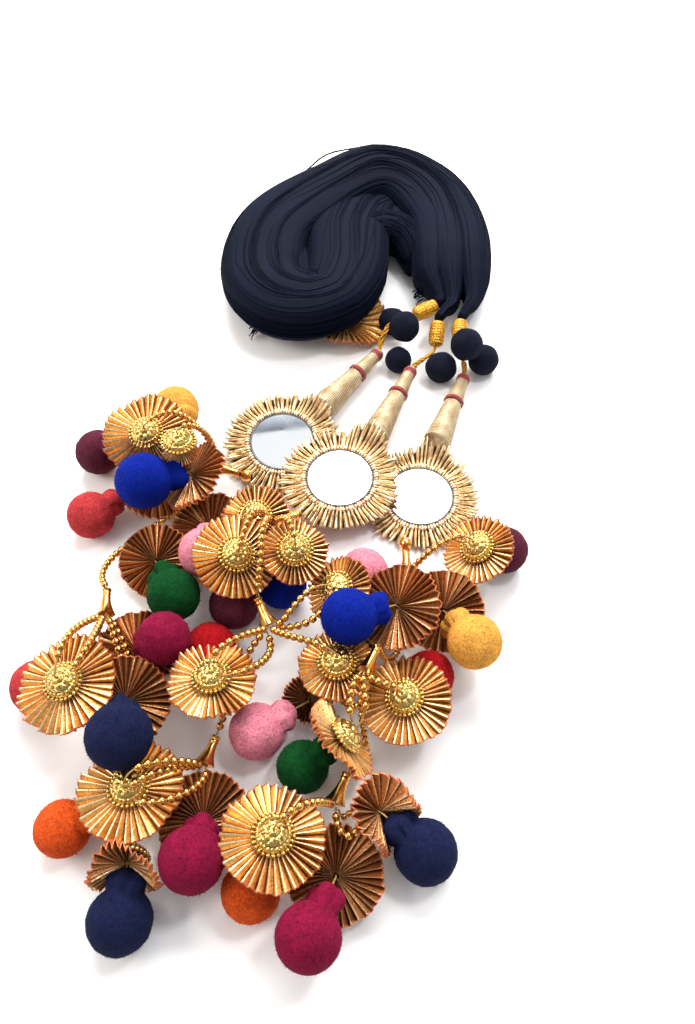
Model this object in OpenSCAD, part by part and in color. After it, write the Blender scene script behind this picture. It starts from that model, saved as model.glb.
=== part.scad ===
// Paranda: a hair ornament that is plaited into a braid, lying on a flat surface.
// A hank of black thread, three wound cones, three framed mirrors, and strings of
// beads that end in pleated ribbon flowers with wool pompoms. Millimetres, +Z up.
// Every place below is [x, y, z] from a point between the mirrors and the flowers,
// with x to the right and y towards the hank. The origin is under the middle of the
// whole object, so everything is moved there at the end.

/* [Pleated flowers] */
// Pleats round one flower
pleats = 16; // [14:1:20]
// Height of a pleat at the rim
pleat_h = 1.6; // [1:0.1:2]
// Thickness of the pleated ribbon
ribbon_wall = 1; // [0.8:0.1:1.2]
// Radius of the hole at the middle of a flower
hub_r = 1.8; // [1.5:0.1:2]

/* [Flower caps] */
// Outer radius of the domed cap
cap_r = 5.8; // [5:0.1:6]
// Height of the domed cap
cap_h = 4.6; // [4:0.1:5]
// Gap between the flower's middle and the cap's foot
cap_lift = 1.9; // [1.8:0.1:2.2]
// Thickness of the cap's metal
cap_wall = 0.8; // [0.6:0.1:1]

/* [Pompoms] */
// Radius of the small tuft where a pompom is tied
tuft_r = 3.4; // [3:0.1:3.6]
// Radius of one lobe of the tuft
lobe_r = 1.7; // [1.5:0.1:1.9]
// Lobes round the tuft
lobes = 5; // [4:1:6]

/* [Beads and thread] */
// Diameter of a string bead
bead_d = 3; // [2.6:0.1:3.2]
// Step from bead to bead along a string
bead_step = 3.3; // [3.3:0.1:3.8]
// Diameter of a bead's bore
bead_bore = 1.5; // [1.3:0.1:1.6]
// Diameter of the stringing thread
thread_d = 0.7; // [0.6:0.1:0.8]
// Bare thread between a bell's mouth and the first bead
string_gap = 4; // [4:0.5:6]
// Diameter of the large bead above a bell
big_bead_d = 5; // [4:0.1:5.5]

/* [Bells] */
// Radius of a bell at its neck
bell_neck_r = 1.6; // [1.4:0.1:1.8]
// Radius of a bell at its mouth
bell_mouth_r = 3.2; // [2.8:0.1:3.6]

/* [Mirrors] */
// Diameter of a mirror
mirror_d = 26; // [22:0.5:26]
// Thickness of a mirror
mirror_t = 1.9; // [1.5:0.1:1.9]
// Outer radius of the gathered ribbon frill
frill_r = 23.5; // [21:0.5:24]
// Folds round the frill
frill_folds = 22; // [18:1:24]
// Height of a frill fold at its rim
frill_fold_h = 1.6; // [1:0.1:2]

/* [Cones] */
// Radius of a cone at its top
cone_top_r = 3; // [2.5:0.1:3.2]
// Radius of a cone at its foot
cone_foot_r = 6.6; // [6:0.1:7]
// Height of a red binding
binding_w = 2.6; // [2:0.1:3]

/* [Hank] */
// Sideways step from bundle to bundle
bundle_step = 13; // [13:0.1:13.5]
// Width of one bundle of thread
bundle_w = 12.4; // [11.5:0.1:12.6]
// Height of one bundle of thread
bundle_h = 22; // [18:1:26]

/* [Hidden] */
// Colours
BLACK = "#1c1f30";
BLUE = "#0a2fb4";
NAVY = "#1d2448";
MAROON = "#5a1f33";
MAGENTA = "#a3184f";
RED = "#b3141c";
CORAL = "#d6453a";
ORANGE = "#ea5a22";
YELLOW = "#f3b54a";
PINK = "#f08aa8";
GREEN = "#0f5a2a";
GOLD = "#c98f2f";
RIBBON = "#c9802f";
PALE = "#cdb27a";
ZARI = "#d99a1c";
BINDING = "#8c1f28";
GLASS = "#dfe6ec";

// The bells: neck end, mouth end, diameter of a large bead above it
BELLS = [
  // neck             mouth              bead
  [[-19, -12, 8],     [-28, -9, 8],      1],   // left strand, first cluster
  [[-62, -67, 15],    [-61, -77, 15],    0],   // left strand, last cluster
  [[6.5, -39.5, 22],  [-2.5, -45.5, 25], 0],   // middle strand, first cluster
  [[-7, -74.5, 23],   [-3, -83, 20],     0],   // middle strand, second cluster
  [[-19, -119, 12],   [-22, -128, 12],   0],   // middle strand, last cluster
  [[46, -47, 8],      [46, -57, 8],      1],   // right strand, first cluster
  [[34, -93.5, 26.5], [30, -102, 26.5],  0],   // right strand, second cluster
  [[24, -131, 13],    [20, -140, 12],    0],   // right strand, last cluster
];

// The flowers. cup is how far the pleats droop from flat, bend folds the two sides
// along the lean down by more, and sag folds only the side that it leans to.
F_NAME = 0; F_COLOUR = 1; F_BALL = 2; F_BALL_R = 3; F_HUB = 4; F_R = 5;
F_TILT = 6; F_TURN = 7; F_CUP = 8; F_BEND = 9; F_SAG = 10;
F_BELL = 11; F_OUT = 12; F_IN = 13; F_BEADS = 14; F_GUIDE = 15;
FLOWERS = [
  // name        colour   ball               r     hub                  r     tilt turn cup bend sag
  //   bell, the two points that shape its string, beads or not, a point that leads the pompom's thread
  ["maroon_1",  MAROON,  [-77, -2, 9],      9,    [-53, -7, 27],       16.5, 12,  280, 0,  0,   40,
    0, [-32, 5, 16],     [-40, -2, 47],    2, []],
  ["yellow_1",  YELLOW,  [-48, 20, 9.5],    9.5,  [-39, -15, 31.5],    8,    5,   60,  50, 0,   0,
    0, [-27, -2, 24],    [-34, -13, 46],   2, [[-38, -14.5, 23.5], [-34, -7.5, 23]]],
  ["blue_1",    BLUE,    [-52, -27, 25],    10.5, [-36, -20, 19],      14.5, 150, 0,   0,  0,   0,
    0, [-34, -18, 12],   [-27, -22, 6],    2, []],
  ["coral_1",   CORAL,   [-75, -32, 9],     9,    [-52, -15, 8.5],     16,   175, 90,  0,  0,   0,
    0, [-36, -6, 2],     [-42, -10, 1],    2, []],
  ["green_1",   GREEN,   [-37.5, -70, 16.8],9.4,  [-47, -53, 10],      13.6,  155, 90,  0,  0,   0,
    0, [-32, -14, -2],   [-40, -40, 1],    2, []],
  ["coral_2",   CORAL,   [-82, -101, 9],    9,    [-66.5, -106, 26],   16,   10,  200, 5,  0,   0,
    1, [-64, -84, 26],   [-66, -96, 44],   1, []],
  ["navy_1",    NAVY,    [-46, -124, 29],   10.3, [-49, -109, 17],     14.5, 160, 90,  0,  0,   0,
    1, [-55, -84, 16],   [-48, -94, 8],    1, []],
  ["magenta_1", MAGENTA, [-38, -88.4, 21],  9,    [-50, -88, 8.8],     14.5, 175, 90,  0,  0,   0,
    1, [-68, -82, 6],    [-60, -90, 1],    2, []],
  ["pink_1",    PINK,    [-28, -54, 19],    9,    [-28, -39, 9],       15,   168, 90,  0,  0,   0,
    2, [-2, -60, 16],    [-8, -54, -3],    2, []],
  ["maroon_2",  MAROON,  [-17, -70, 9],     9,    [-15, -59.5, 26.5],  15,   20,  315, 6,  0,   0,
    2, [-9, -40.5, 36],  [-10, -56, 44],   2, []],
  ["yellow_3",  YELLOW,  [-2, -38, 8.5],    8.5,  [-10, -40, 19.5],    12.5,   15,  250, 0,  0,   30,
    2, [-7, -43, 27],    [-11, -43, 33],   2, []],
  ["blue_2",    BLUE,    [0, -62, 9],       9,    [5.5, -58.5, 28],    11.6, 12,  300, 6,  0,   0,
    2, [3, -48, 37],     [5, -55, 44],     2, []],
  ["red_1",     RED,     [-24, -87, 9],     9,    [-20, -104, 24],     14,   12,  90,  3,  0,   0,
    3, [-6, -90, 30],    [-18, -98, 42],   0, []],
  ["pink_2",    PINK,    [30, -57, 9],      9,    [21, -69.5, 19.5],   12,   30,  200, 0,  0,   0,
    3, [4, -86, 26],     [8, -74, 34],     1, []],
  ["green_3",   GREEN,   [34, -76, 8],      8,    [20.5, -97.5, 20.5], 12.5, 3,   90,  3,  0,   0,
    3, [2, -92, 30],     [16, -96, 38],    1, []],
  ["orange_1",  ORANGE,  [-65, -147, 8.7],  8.7,  [-43, -137.5, 19],   16,   8,   90,  3,  0,   0,
    4, [-22, -130, 24],  [-38, -132, 38],  0, []],
  ["navy_2",    NAVY,    [-43, -173, 10],   9.7,  [-42, -158, 14],     12.3,   108, 90,  20, -15, 0,
    4, [-28, -136, 8],   [-42, -142, 4],   1, []],
  ["magenta_2", MAGENTA, [-22, -157.5, 18.5],9.8, [-21, -145, 9.5],    15,   160, 90,  0,  0,   0,
    4, [-18, -134, 6],   [-18, -134, 2],   2, []],
  ["maroon_3",  MAROON,  [83, -47.5, 9],    8.8,  [72, -51.1, 16],     13.2, 25,  180, 0,  0,   0,
    5, [50, -58, 24],    [62, -52, 34],    1, []],
  ["blue_3",    BLUE,    [24.5, -84.5, 30], 9.4,  [41, -78, 24],       15,   155, 20,  0,  0,   0,
    5, [40, -64, 8],     [41, -76, 14],    2, []],
  ["yellow_2",  YELLOW,  [67, -89, 19.5],   9.3,  [58, -74, 12],       14.5, 155, 90,  0,  0,   0,
    5, [52, -60, 4],     [58, -64, 1],     2, []],
  ["red_2",     RED,     [52, -97, 8.7],    8.7,  [43, -108.5, 18],    15,   15,  180, 5,  0,   0,
    6, [31, -108, 32],   [38, -109, 35],   0, []],
  ["green_2",   GREEN,   [9.5, -128, 9],    8.5,  [22, -122, 19],      13.5, 60,  30,  0,  0,   0,
    6, [27.5, -107.5, 32],[32, -114, 30],  1, []],
  ["pink_3",    PINK,    [-6, -116.5, 9.3], 9.3,  [10.8, -105.5, 9.5], 8.4,   135, 90,  0,  0,   0,
    6, [27, -124, 22],   [21, -96, 2],     2, []],
  ["orange_2",  ORANGE,  [-5, -165, 9],     9,    [2, -152, 23],       15.5, 10,  45,  5,  0,   0,
    7, [18, -142, 28],   [8, -146, 42],    1, []],
  ["magenta_3", MAGENTA, [13, -178, 19],    9.5,  [20.5, -161, 11],    14.5, 160, 90,  0,  0,   0,
    7, [20, -147, 6],    [22, -148, 2],    2, []],
  ["navy_3",    NAVY,    [48, -154, 10],    9.8,  [34, -143, 13],      13,   128, 140, 25, -30, 0,
    7, [24, -148, 8],    [26, -136, 5],    2, []],
];

// The strings from one bell to the next: two points that shape it, beads or not, bare end
LINKS = [
  // from  first point       second point      to  beads bare
  [0,     [-36, -28, 1.5],  [-80, -46, 2],    1,  1,    1],
  [2,     [-6.5, -48, 41],  [-4, -68, 40],    3,  1,    1],
  [3,     [-14, -90, 8],    [-16, -108, 10],  4,  1,    1],
  [5,     [48, -80, -2],    [38, -98, 6],     6,  2,    1],
  [6,     [24, -116, 24],   [38, -124, -17],  7,  2,    1],
];

// The mirrors: middle, tilt and turn of the glass, then the cone's top and foot
MIRRORS = [
  // middle          tilt turn  cone top       cone foot
  [[-3, 6, 3.4],      8,  270,  [38, 55, 6],   [14, 24, 7]],    // left
  [[21, -15, 7],      2,  270,  [52, 44, 7],   [36, 8, 9]],     // middle
  [[53, -20, 1.2],    2,  270,  [75, 41, 6],   [61, 5, 7]],     // right
];

// The tie knobs: end at the hank, end towards the cone
KNOBS = [
  // at the hank     towards the cone
  [[64, 77, 13],     [54, 72, 12]],
  [[64.3, 65.6, 14], [63, 56, 9]],
  [[74, 65, 15],     [73, 57, 13]],
];

// The six black pompoms: middle, radius
BLACK_BALLS = [
  [[49, 61.5, 15.5],  6.7],
  [[44.5, 74, 6.2],   6.2],
  [[46.5, 50.8, 5.8], 5.8],
  [[65, 45.5, 6.8],   6.8],
  [[75, 48, 18.5],    6.9],
  [[84, 50, 6.8],     6.8],
];

// The middle line of the hank from the tie to its tucked end, with how far it is off the surface
HANK_ROUTE = [
  [72, 78, 0], [71, 95, 0], [72, 120, 0], [69, 145, 0], [58, 164, 0], [39, 173, 0], [19, 158, 0],
  [-1, 140, 0], [-12, 124, 0], [-15, 102, 1], [-9, 82, 4], [6, 73, 5], [20, 80, 5], [24, 97, 3], [24, 122, 0],
];
// Where each bundle is drawn in behind its knob: points, with the share of its full size there
NECKS = [
  [[[65.6, 77.8, 13.2], 0.2], [[66, 82, 12.6], 0.3]],
  [[[64.2, 67, 14.6], 0.2], [[67.5, 72, 14.5], 0.22], [[71.5, 79, 12.5], 0.35]],
  [[[74.2, 66.1, 15.4], 0.2], [[77, 72, 14.5], 0.25], [[81, 80, 12.5], 0.4]],
];

$fn = 32;
// From the origin to the point that the places are measured from
TO_PLACES = [-0.4, -2.08, 0];

// Vectors and curves
function unit(v) = v / norm(v);
function lean(tilt, turn) = [sin(tilt) * cos(turn), sin(tilt) * sin(turn), cos(tilt)];
function mix(a, b, t) = a * (1 - t) + b * t;
function bezier(c, t) =
  mix(mix(mix(c[0], c[1], t), mix(c[1], c[2], t), t), mix(mix(c[1], c[2], t), mix(c[2], c[3], t), t), t);
// A smooth curve through four points, from the second to the third
function through(a, b, c, d, t) =
  0.5 * (2 * b + (c - a) * t + (2 * a - 5 * b + 4 * c - d) * t * t + (3 * b - a - 3 * c + d) * t * t * t);
// Lengths along a curve, each with its share of the curve, for lookup()
function lengths(c, n = 24) = [
  for (i = 0, s = 0; i <= n; s = s + norm(bezier(c, (i + 1) / n) - bezier(c, i / n)), i = i + 1) [s, i / n]
];

// Triangles between n sections of m points each, closed on itself or capped at both ends
function loft_faces(n, m, closed) = concat(
  [for (j = [0 : closed ? n - 1 : n - 2], k = [0 : m - 1], half = [0, 1])
    let (a = j * m + k, b = j * m + (k + 1) % m, c = (j + 1) % n * m + k, d = (j + 1) % n * m + (k + 1) % m)
    half == 0 ? [a, d, b] : [a, c, d]],
  closed ? [] : [[for (k = [0 : m - 1]) k], [for (k = [0 : m - 1]) n * m - 1 - k]]
);
// Directions along a path, and side directions carried along it without twist
function headings(p) = [for (i = [0 : len(p) - 1]) unit(p[min(i + 1, len(p) - 1)] - p[max(i - 1, 0)])];
function square_to(v, h) = unit(v - (v * h) * h);
function sides(h) = [
  for (i = 0, u = square_to(abs(h[0].z) < 0.8 ? [0, 0, 1] : [1, 0, 0], h[0]); i < len(h);
    u = i < len(h) - 1 ? square_to(u, h[i + 1]) : u, i = i + 1) u
];

// A plain round tube along a path
module tube(path, d, n) {
  h = headings(path);
  u = sides(h);
  points = [for (i = [0 : len(path) - 1], k = [0 : n - 1])
    path[i] + d / 2 * (cos(360 * k / n) * u[i] + sin(360 * k / n) * cross(h[i], u[i]))];
  polyhedron(points, loft_faces(len(path), n, false));
}

// Stands its children at a, with their z axis towards b
module towards(a, b) {
  d = b - a;
  translate(a) rotate([0, acos(d.z / norm(d)), atan2(d.y, d.x)]) children();
}

// Where things sit on one flower
function facing(f) = lean(f[F_TILT], f[F_TURN]);
function cap_top(f) = f[F_HUB] + facing(f) * (cap_lift + cap_h);
function under_hub(f) = f[F_HUB] - facing(f) * 1.8;
// The pompom's tuft points to where its thread comes from
function tuft_from(f) = len(f[F_GUIDE]) > 0 ? f[F_GUIDE][len(f[F_GUIDE]) - 1] : under_hub(f);
function tuft_tip(f) = f[F_BALL] + unit(tuft_from(f) - f[F_BALL]) * (f[F_BALL_R] + 2.6);
function outlet(b) = unit(BELLS[b][1] - BELLS[b][0]);
// A thread leaves the bell's mouth near its edge, on the side that it is led to
function leaving(b, p) = BELLS[b][1] + 1.2 * outlet(b) + 1.9 * square_to(p - BELLS[b][1], outlet(b));
function string_curve(f) =
  [leaving(f[F_BELL], f[F_OUT]), f[F_OUT], f[F_IN], cap_top(f) + facing(f)];
function link_curve(l) = [leaving(l[0], l[1]), l[1], l[2], BELLS[l[3]][0] - 0.6 * outlet(l[3])];
// Bare thread at the end of a string: more where the cap faces down and lies near the floor
function bare(f) = facing(f).z < -0.7 ? 9 : 3.5;

// One pleated flower: straight pleats from the middle hole to a zigzag rim
function pleat_point(angle, droop, r, h) =
  let (q = hub_r + (r - hub_r) * cos(droop) + h * sin(droop))
  [q * cos(angle), q * sin(angle), h * cos(droop) - (r - hub_r) * sin(droop)];
module fan(r, cup = 0, bend = 0, sag = 0) {
  n = 2 * pleats;
  points = [for (j = [0 : n - 1])
    let (
      angle = 360 * j / n,
      droop = cup + bend * cos(2 * angle) + sag * max(0, cos(angle)),
      fold = (j % 2 - 0.5) * pleat_h,
      w = ribbon_wall / 2
    )
    each [
      pleat_point(angle, droop, hub_r, fold * hub_r / r + w), pleat_point(angle, droop, r, fold + w),
      pleat_point(angle, droop, r, fold - w), pleat_point(angle, droop, hub_r, fold * hub_r / r - w),
    ]];
  polyhedron(points, loft_faces(n, 4, true));
}
module flower_fan(f) {
  translate(f[F_HUB]) rotate([0, f[F_TILT], f[F_TURN]]) fan(f[F_R], f[F_CUP], f[F_BEND], f[F_SAG]);
}

// A domed cap with a rolled rim, drilled at the top for the thread
module flower_cap(f) {
  sphere_r = (cap_r * cap_r + cap_h * cap_h) / (2 * cap_h);
  towards(f[F_HUB] + facing(f) * cap_lift, cap_top(f)) rotate_extrude() {
    intersection() {
      translate([0, cap_h - sphere_r]) difference() {
        circle(sphere_r, $fn = 64);
        circle(sphere_r - cap_wall, $fn = 64);
      }
      translate([bead_bore / 2, 0.6]) square([cap_r, cap_h]);
    }
    translate([cap_r - 0.5, 0.7]) circle(0.7);
  }
}

// A pompom: a dense wool ball with a small lumpy tuft, and the hole where its thread is tied
module pompom(f) {
  r = f[F_BALL_R];
  color(f[F_COLOUR]) towards(f[F_BALL], tuft_from(f)) difference() {
    union() {
      sphere(r, $fn = 64);
      translate([0, 0, r - 1]) cylinder(h = 3, r = tuft_r - 1.4);
      for (i = [0 : lobes - 1])
        rotate(360 * i / lobes + 17) translate([tuft_r - 0.9, 0, r + 0.6]) sphere(lobe_r);
    }
    translate([0, 0, r + 0.4]) cylinder(h = tuft_r + 2, d = bead_bore + 0.4);
  }
}

// Round beads at equal steps along a curve, from where the strings have spread to its bare end
module bead_row(c, bare) {
  s = lengths(c);
  total = s[len(s) - 1][0];
  count = floor((total - string_gap - bare) / bead_step);
  for (i = [0 : count - 1]) {
    t = lookup(string_gap + bead_step * (i + 0.5), s);
    towards(bezier(c, t), 2 * bezier(c, t + 0.01) - bezier(c, t - 0.01)) difference() {
      sphere(d = bead_d);
      cylinder(h = bead_d + 1, d = bead_bore, center = true);
    }
  }
}
// A string of finer beads drawn as one tube, over the same stretch as bead_row()
module bead_tube(c, bare) {
  s = lengths(c);
  total = s[len(s) - 1][0];
  n = 7;
  tube([for (i = [0 : n]) bezier(c, lookup(mix(string_gap, total - bare, i / n), s))], bead_d - 0.5, 6);
}
module string(c, bare, beaded) {
  if (beaded == 1) bead_row(c, bare);
  if (beaded == 0) bead_tube(c, bare);
}
module beads(first_flower, last_flower, links) color(GOLD) {
  for (i = [first_flower : last_flower])
    string(string_curve(FLOWERS[i]), bare(FLOWERS[i]), FLOWERS[i][F_BEADS]);
  for (l = links) string(link_curve(LINKS[l]), LINKS[l][5], LINKS[l][4]);
}

// A point at a length along a curve, and a thread along all of it
function part_way(c, s, from, i, n) = bezier(c, lookup(mix(from, s[len(s) - 1][0], i / n), s));
// The thread from a bell through its beads, cap and flower into the pompom's tuft
module flower_thread(f) {
  c = string_curve(f);
  s = lengths(c);
  total = s[len(s) - 1][0];
  from = f[F_BEADS] > 0 ? 0 : total - bare(f) + 0.5;
  n = ceil((total - from) / (f[F_BEADS] == 1 ? 3 : 6));
  tube(concat([for (i = [0 : n]) part_way(c, s, from, i, n)],
    [f[F_HUB] + facing(f) * 2, under_hub(f)], f[F_GUIDE], [tuft_tip(f)]), thread_d, 5);
}
module link_thread(l) {
  c = link_curve(l);
  s = lengths(c);
  n = l[4] == 1 ? 16 : 8;
  if (l[4] > 0) tube([for (i = [0 : n]) part_way(c, s, 0, i, n)], thread_d, 5);
}
module threads() color(PALE) {
  for (f = FLOWERS) flower_thread(f);
  for (l = LINKS) link_thread(l);
}

// A trumpet-shaped bell, open at both ends, with the large bead above it
module bell(b) {
  l = norm(b[1] - b[0]);
  flare = [for (i = [0 : 6]) [bell_neck_r + (bell_mouth_r - bell_neck_r) * pow(i / 6, 3), l * i / 6]];
  towards(b[0], b[1]) {
    rotate_extrude() polygon(concat(flare, [for (i = [6 : -1 : 0]) flare[i] - [0.7, 0]]));
    if (b[2] == 1) translate([0, 0, -big_bead_d / 2 - 0.3]) difference() {
      sphere(d = big_bead_d);
      cylinder(h = big_bead_d + 1, d = bead_bore, center = true);
    }
  }
}
module bells() color(GOLD) for (b = BELLS) bell(b);

// A round mirror and the gathered ribbon round it
module mirror_disc(m) color(GLASS) translate(m[0]) rotate([0, m[1], m[2]]) {
  translate([0, 0, 1.2]) cylinder(h = mirror_t - 0.4, d = mirror_d, $fn = 96);
  translate([0, 0, 0.8 + mirror_t]) cylinder(h = 0.4, d1 = mirror_d, d2 = mirror_d - 0.8, $fn = 96);
}
module frill(m) {
  n = 2 * frill_folds;
  r = mirror_d / 2;
  points = [for (j = [0 : n - 1])
    let (angle = 360 * j / n, fold = j % 2 * frill_fold_h, spoke = [cos(angle), sin(angle), 0])
    each [
      0.6 * spoke + [0, 0, 1], (r + 0.4) * spoke + [0, 0, 1],
      (r + 0.4) * spoke + [0, 0, 3.2], (r + 1.6) * spoke + [0, 0, 3.2],
      frill_r * spoke + [0, 0, fold + 1], frill_r * spoke + [0, 0, fold], (r + 0.4) * spoke, 0.6 * spoke,
    ]];
  color(PALE) translate(m[0]) rotate([0, m[1], m[2]]) polyhedron(points, loft_faces(n, 8, true));
}

// A cone wound with pale thread, waisted where the red thread binds it
BINDS = [1, 15]; // distance of each binding from the cone's top
function cone_r(z, l) = mix(cone_top_r, cone_foot_r, z / l);
module cone(m) {
  l = norm(m[4] - m[3]);
  color(PALE) towards(m[3], m[4]) rotate_extrude() polygon(concat(
    [[0, 0], [cone_r(0, l), 0]],
    [for (b = BINDS) each [
      [cone_r(b, l), b], [cone_r(b, l) - 0.7, b],
      [cone_r(b + binding_w, l) - 0.7, b + binding_w], [cone_r(b + binding_w, l), b + binding_w],
    ]],
    [[cone_r(l - 1, l), l - 1], [cone_foot_r - 1, l], [0, l]]
  ));
}
module bindings() color(BINDING) for (m = MIRRORS) {
  l = norm(m[4] - m[3]);
  for (b = BINDS) towards(m[3], m[4]) rotate_extrude() {
    inner = cone_r(b + binding_w, l) - 0.5;
    translate([inner, b + 0.2]) square([0.9, binding_w - 0.4]);
  }
}

// A barrel-shaped knob and the doubled thread from it to the cone's top
module tie_knobs() color(ZARI) for (i = [0 : 2]) {
  k = KNOBS[i];
  l = norm(k[1] - k[0]);
  towards(k[0], k[1]) rotate_extrude() polygon([
    [0, 0], [2.6, 0], [3.3, 1], [3.5, l / 2], [3.1, l - 1], [1.8, l], [0, l],
  ]);
  top = MIRRORS[i][3];
  out = unit(k[1] - k[0]);
  back = unit(MIRRORS[i][3] - MIRRORS[i][4]);
  c = [k[1] + out * 0.4, k[1] + out * 5, top + back * 5, top + back * 0.5];
  tube([for (j = [0 : 6]) bezier(c, j / 6)], 1.8, 6);
}
module black_pompoms() color(BLACK) for (b = BLACK_BALLS) translate(b[0]) sphere(b[1], $fn = 64);

// One bundle of the hank: an oval tube beside the route, drawn in where it is tied
module bundle(side, neck) {
  last = len(HANK_ROUTE) - 1;
  flat = [for (p = HANK_ROUTE) p + [0, 0, bundle_h / 2 + 0.2]];
  middle = concat([for (i = [1 : last - 2], t = [0, 0.5])
    through(flat[i - 1], flat[i], flat[i + 1], flat[i + 2], t)], [flat[last - 1], flat[last]]);
  h = headings(middle);
  path = concat([for (k = neck) k[0]],
    [for (i = [0 : len(middle) - 1]) middle[i] + side * bundle_step * cross([0, 0, 1], h[i])]);
  size = concat([for (k = neck) k[1]], [0.85], [for (i = [1 : len(middle) - 2]) 1], [0.7]);
  run = headings(path);
  n = 10;
  points = [for (i = [0 : len(path) - 1], k = [0 : n - 1])
    let (across = unit(cross([0, 0, 1], run[i])), a = 360 * (k + 0.5) / n)
    path[i] + size[i] / 2 * (bundle_w * cos(a) * across + bundle_h * sin(a) * cross(run[i], across))];
  color(BLACK) polyhedron(points, loft_faces(len(path), n, false));
}
module hank_inner() bundle(1, NECKS[0]);
module hank_middle() bundle(0, NECKS[1]);
module hank_outer() bundle(-1, NECKS[2]);
module hank_fan() color(RIBBON) translate([18, 68, 2]) fan(16, 0, 0, 0);

module fans(first, last) color(RIBBON) for (i = [first : last]) flower_fan(FLOWERS[i]);
module caps(first, last) color(GOLD) for (i = [first : last]) flower_cap(FLOWERS[i]);

translate(TO_PLACES) {
  hank_inner();
  hank_middle();
  hank_outer();
  hank_fan();
  tie_knobs();
  black_pompoms();
  cone(MIRRORS[0]);  // cone_left
  cone(MIRRORS[1]);  // cone_middle
  cone(MIRRORS[2]);  // cone_right
  bindings();
  mirror_disc(MIRRORS[0]);  // mirror_left
  mirror_disc(MIRRORS[1]);  // mirror_middle
  mirror_disc(MIRRORS[2]);  // mirror_right
  frill(MIRRORS[0]);  // frill_left
  frill(MIRRORS[1]);  // frill_middle
  frill(MIRRORS[2]);  // frill_right
  bells();
  threads();
  beads(0, 7, [0]);  // beads_left
  beads(8, 17, [1, 2]);  // beads_middle
  beads(18, 26, [3, 4]);  // beads_right
  caps(0, 7);  // caps_left
  caps(8, 17);  // caps_middle
  caps(18, 26);  // caps_right
  fans(0, 4);  // fans_left_top
  fans(5, 7);  // fans_left_end
  fans(8, 11);  // fans_middle_top
  fans(12, 14);  // fans_middle_mid
  fans(15, 17);  // fans_middle_end
  fans(18, 20);  // fans_right_top
  fans(21, 23);  // fans_right_mid
  fans(24, 26);  // fans_right_end
  for (f = FLOWERS) pompom(f);
}
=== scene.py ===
import bpy
import bmesh
import numpy as np
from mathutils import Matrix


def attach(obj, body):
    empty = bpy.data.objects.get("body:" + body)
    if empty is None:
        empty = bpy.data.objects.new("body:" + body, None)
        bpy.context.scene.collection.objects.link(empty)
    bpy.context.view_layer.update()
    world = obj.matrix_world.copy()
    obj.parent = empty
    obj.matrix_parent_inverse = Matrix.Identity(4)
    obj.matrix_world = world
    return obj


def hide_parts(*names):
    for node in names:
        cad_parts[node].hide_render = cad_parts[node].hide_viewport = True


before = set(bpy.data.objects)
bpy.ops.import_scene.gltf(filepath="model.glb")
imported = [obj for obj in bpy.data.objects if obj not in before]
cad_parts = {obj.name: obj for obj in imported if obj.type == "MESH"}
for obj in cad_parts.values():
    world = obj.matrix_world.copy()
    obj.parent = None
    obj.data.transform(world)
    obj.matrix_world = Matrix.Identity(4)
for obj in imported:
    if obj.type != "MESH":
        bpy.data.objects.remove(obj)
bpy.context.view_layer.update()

# Camera, floor and light. The ornament lies on a white table and is seen from its pompom
# end, looking steeply down. The light is a large soft window beyond the hank.
camera_data = bpy.data.cameras.new("camera")
camera_data.sensor_fit = "VERTICAL"
camera_data.sensor_height = 36
camera_data.lens = 28.8
camera = bpy.data.objects.new("camera", camera_data)
camera.location = (0.0236, -0.2008, 0.278)
camera.rotation_euler = (np.radians(32), 0, 0)
bpy.context.scene.collection.objects.link(camera)
bpy.context.scene.camera = camera
bpy.context.scene.view_settings.view_transform = "Standard"


def shader_node(tree, kind, inputs=None, **settings):
    """Adds one shader node: settings are its properties, inputs are values or sockets to link."""
    n = tree.nodes.new("ShaderNode" + kind)
    for key, value in settings.items():
        setattr(n, key, value)
    for key, value in (inputs or {}).items():
        if isinstance(value, bpy.types.NodeSocket):
            tree.links.new(value, n.inputs[key])
        else:
            n.inputs[key].default_value = value
    return n


def linear(code):
    """A colour code such as #a3184f as linear light, by the curve that screens use."""
    c = np.array([int(code[i:i + 2], 16) / 255 for i in (1, 3, 5)])
    return (*np.where(c <= 0.04045, c / 12.92, ((c + 0.055) / 1.055) ** 2.4), 1.0)


def finish_of(name, colour, roughness, metallic=0.0, **more):
    """A new material with one Principled shader; more sets its other sockets by their names."""
    m = bpy.data.materials.new(name)
    m.use_nodes = True
    p = m.node_tree.nodes["Principled BSDF"]
    more |= {"Base Color": linear(colour), "Roughness": roughness, "Metallic": metallic}
    for key, value in more.items():
        p.inputs[key.replace("_", " ")].default_value = value
    return m, m.node_tree, p


def mixed(tree, share, a, b, p=None):
    """A colour between a and b by a share. Each of the two is a code or a socket. With a shader p given,
    it becomes that shader's base colour."""
    a, b = (linear(c) if isinstance(c, str) else c for c in (a, b))
    tone = shader_node(tree, "MixRGB", {"Fac": share, "Color1": a, "Color2": b}).outputs[0]
    if p is not None:
        tree.links.new(tone, p.inputs["Base Color"])
    return tone


def noise(tree, scale, detail, roughness=0.5, at=None):
    """Noise on the piece's own coordinates, or on those of a socket."""
    if at is None:
        at = shader_node(tree, "TexCoord").outputs["Object"]
    values = {"Vector": at, "Scale": scale, "Detail": detail, "Roughness": roughness}
    return shader_node(tree, "TexNoise", values).outputs["Fac"]


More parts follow.
